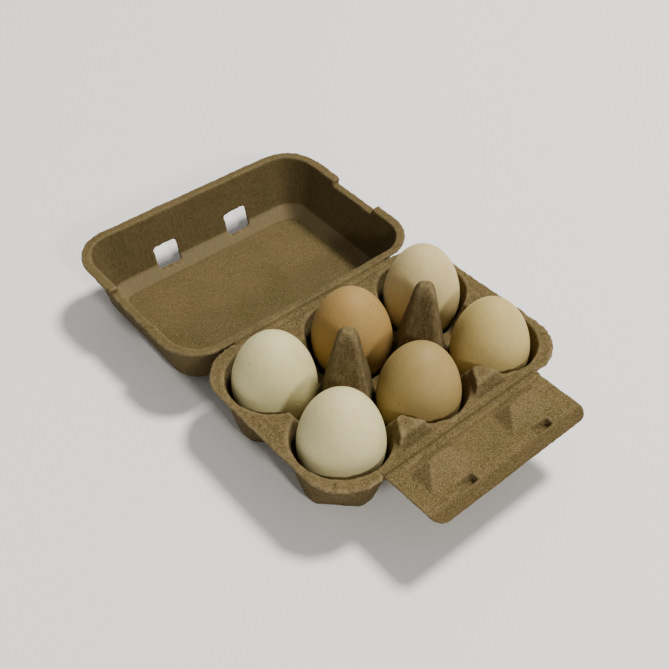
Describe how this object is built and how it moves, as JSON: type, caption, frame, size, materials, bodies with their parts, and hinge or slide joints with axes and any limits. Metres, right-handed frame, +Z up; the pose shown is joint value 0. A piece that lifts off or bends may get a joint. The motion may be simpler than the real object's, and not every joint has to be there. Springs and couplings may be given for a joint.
{
  "type": "egg carton",
  "caption": "Moulded-pulp egg carton, open, with a cupped tray and two tall posts, a hinged lid with latch holes, a folding closure flap, and loose eggs in the cups.",
  "frame": {"origin": "on the table, under the centre of the open carton's bounding box", "axes": "+X along the two hinges, +Y from the closure flap to the lid, +Z up"},
  "size_m": [0.16, 0.2584, 0.0697],
  "materials": {
    "pulp": "rough, unbleached brown moulded pulp with fine flecks",
    "shell_back_left": "matt to satin eggshell, finely pored",
    "shell_back_middle": "matt to satin eggshell, finely pored",
    "shell_back_right": "matt to satin eggshell, finely pored",
    "shell_front_left": "matt to satin eggshell, finely pored",
    "shell_front_middle": "matt to satin eggshell, finely pored",
    "shell_front_right": "matt to satin eggshell, finely pored"
  },
  "bodies": {
    "tray": {"tray": "pulp", "lid_hinge_web": "pulp", "flap_hinge_web": "pulp"},
    "lid": {"lid": "pulp"},
    "closure_flap": {"closure_flap": "pulp"},
    "egg_back_left": {"egg_back_left": "shell_back_left"},
    "egg_back_middle": {"egg_back_middle": "shell_back_middle"},
    "egg_back_right": {"egg_back_right": "shell_back_right"},
    "egg_front_left": {"egg_front_left": "shell_front_left"},
    "egg_front_middle": {"egg_front_middle": "shell_front_middle"},
    "egg_front_right": {"egg_front_right": "shell_front_right"}
  },
  "joints": [
    {"name": "lid_fold", "type": "hinge", "parent": "tray", "child": "lid", "pos_m": [0, 0.01375, 0.03585], "axis": [-1, 0, 0], "range_deg": [-177.9, 0]},
    {"name": "flap_fold", "type": "hinge", "parent": "tray", "child": "closure_flap", "pos_m": [0, -0.09455, 0.03585], "axis": [1, 0, 0], "range_deg": [-116, 30]},
    {"name": "egg_back_left_lift", "type": "slide", "parent": "tray", "child": "egg_back_left", "axis": [0, 0, 1], "range_m": [0, 0.06]},
    {"name": "egg_back_middle_lift", "type": "slide", "parent": "tray", "child": "egg_back_middle", "axis": [0, 0, 1], "range_m": [0, 0.06]},
    {"name": "egg_back_right_lift", "type": "slide", "parent": "tray", "child": "egg_back_right", "axis": [0, 0, 1], "range_m": [0, 0.06]},
    {"name": "egg_front_left_lift", "type": "slide", "parent": "tray", "child": "egg_front_left", "axis": [0, 0, 1], "range_m": [0, 0.06]},
    {"name": "egg_front_middle_lift", "type": "slide", "parent": "tray", "child": "egg_front_middle", "axis": [0, 0, 1], "range_m": [0, 0.06]},
    {"name": "egg_front_right_lift", "type": "slide", "parent": "tray", "child": "egg_front_right", "axis": [0, 0, 1], "range_m": [0, 0.06]}
  ]
}
